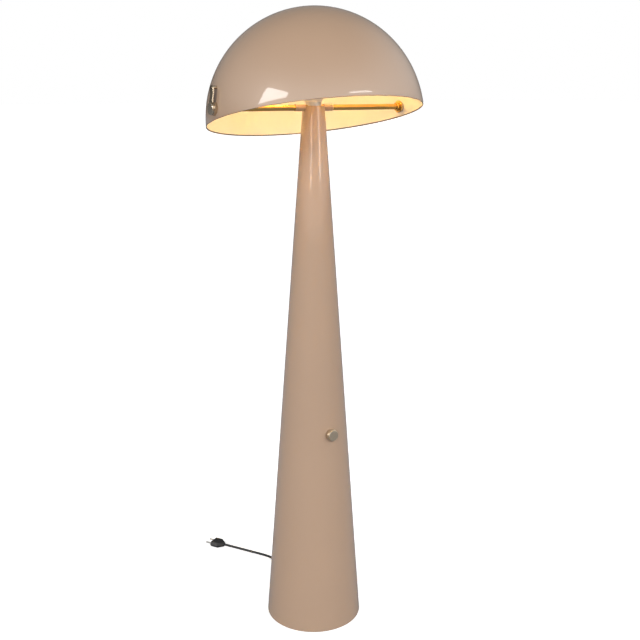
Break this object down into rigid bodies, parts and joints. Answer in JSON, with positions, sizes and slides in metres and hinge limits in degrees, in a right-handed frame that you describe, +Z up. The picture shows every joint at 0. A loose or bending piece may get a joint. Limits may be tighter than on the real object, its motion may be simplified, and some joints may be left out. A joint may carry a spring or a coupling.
{
  "type": "mushroom floor lamp",
  "caption": "Floor lamp with a conical lacquered stem, a brass cross bar and a tilting domed shade, a dimmer knob and a mains cord.",
  "frame": {"origin": "centre of the foot, on the floor", "axes": "+Z up the stem, X along the cross bar that the shade tilts on, -Y towards the dimmer knob, +Y towards the cord"},
  "size_m": [0.469, 0.6489, 1.3555],
  "materials": {
    "lacquer_taupe": "gloss lacquer, taupe outside, cream inside the shade",
    "brass_bright": "polished",
    "brass_pale": "satin, pale champagne",
    "iron_black": "as cast, black",
    "steel_zinc": "zinc plated",
    "screw_dark": "darkened",
    "rubber_black": "matte",
    "plastic_black": "moulded, matte",
    "cord_black": "smooth flexible sheath",
    "nylon_grey": "matte",
    "holder_white": "gloss",
    "holder_brass": "plain",
    "bulb_opal": "opal",
    "bulb_white": "satin",
    "bulb_plate": "white coated",
    "nickel": "nickel plated",
    "clear_sheath": "smooth"
  },
  "bodies": {
    "stand": {"stem_cone": "lacquer_taupe", "head_cover": "lacquer_taupe", "collar_left": "lacquer_taupe", "collar_right": "lacquer_taupe", "cross_bar_left": "brass_bright", "cross_bar_right": "brass_bright", "pivot_flange_left": "brass_bright", "pivot_flange_right": "brass_bright", "base_weight": "iron_black", "stem_foot_ring": "steel_zinc", "base_screws": "steel_zinc", "head_hub": "steel_zinc", "lampholder_nipple": "steel_zinc", "nipple_nut": "steel_zinc", "clamp_screws": "steel_zinc", "dimmer_nut": "steel_zinc", "foot_pad": "rubber_black", "dimmer_module": "plastic_black", "cable_gland": "plastic_black", "gland_nut": "plastic_black", "cable_clamp": "plastic_black", "plug_body": "plastic_black", "coil_tie": "plastic_black", "supply_cable": "cord_black", "cord_exit": "cord_black", "cord_coil": "cord_black", "cord_lead": "cord_black", "friction_washer_left": "nylon_grey", "friction_washer_right": "nylon_grey", "dimmer_washer": "nylon_grey", "lampholder_cap": "holder_white", "lampholder_insulator": "holder_white", "lampholder_shell": "holder_white", "lampholder_screw_shell": "holder_brass", "lampholder_contact": "holder_brass", "plug_pins": "nickel", "lamp_flex": "clear_sheath"},
    "shade": {"shade_dome": "lacquer_taupe", "shade_bush_left": "nylon_grey", "shade_bush_right": "nylon_grey", "pivot_boss_left": "brass_pale", "pivot_boss_right": "brass_pale", "stay_left": "brass_pale", "stay_right": "brass_pale", "stay_post_left": "brass_pale", "stay_post_right": "brass_pale", "stay_screws": "screw_dark", "stay_nuts": "steel_zinc"},
    "left_nut": {"cap_nut_left": "brass_pale"},
    "right_nut": {"cap_nut_right": "brass_pale"},
    "dimmer": {"dimmer_shaft": "nylon_grey", "dimmer_knob": "brass_pale", "dimmer_knob_cap": "brass_pale"},
    "bulb": {"bulb_globe": "bulb_opal", "bulb_body": "bulb_white", "bulb_tip_insulator": "bulb_white", "bulb_driver": "bulb_white", "bulb_led_plate": "bulb_plate", "bulb_cap": "nickel", "bulb_contact": "nickel"}
  },
  "joints": [
    {"name": "shade_tilt", "type": "hinge", "parent": "stand", "child": "shade", "pos_m": [0, 0, 1.156], "axis": [1, 0, 0], "range_deg": [-58, 82]},
    {"name": "left_nut_turn", "type": "hinge", "parent": "stand", "child": "left_nut", "pos_m": [-0.232, 0, 1.156], "axis": [-1, 0, 0], "range_deg": [0, 360]},
    {"name": "right_nut_turn", "type": "hinge", "parent": "stand", "child": "right_nut", "pos_m": [0.232, 0, 1.156], "axis": [1, 0, 0], "range_deg": [0, 360]},
    {"name": "dimmer_turn", "type": "hinge", "parent": "stand", "child": "dimmer", "pos_m": [0, -0.07429, 0.46], "axis": [0, -0.9973, 0.0731], "range_deg": [0, 270]},
    {"name": "bulb_turn", "type": "hinge", "parent": "stand", "child": "bulb", "pos_m": [0, 0, 1.21], "axis": [0, 0, 1], "range_deg": [0, 900]}
  ]
}
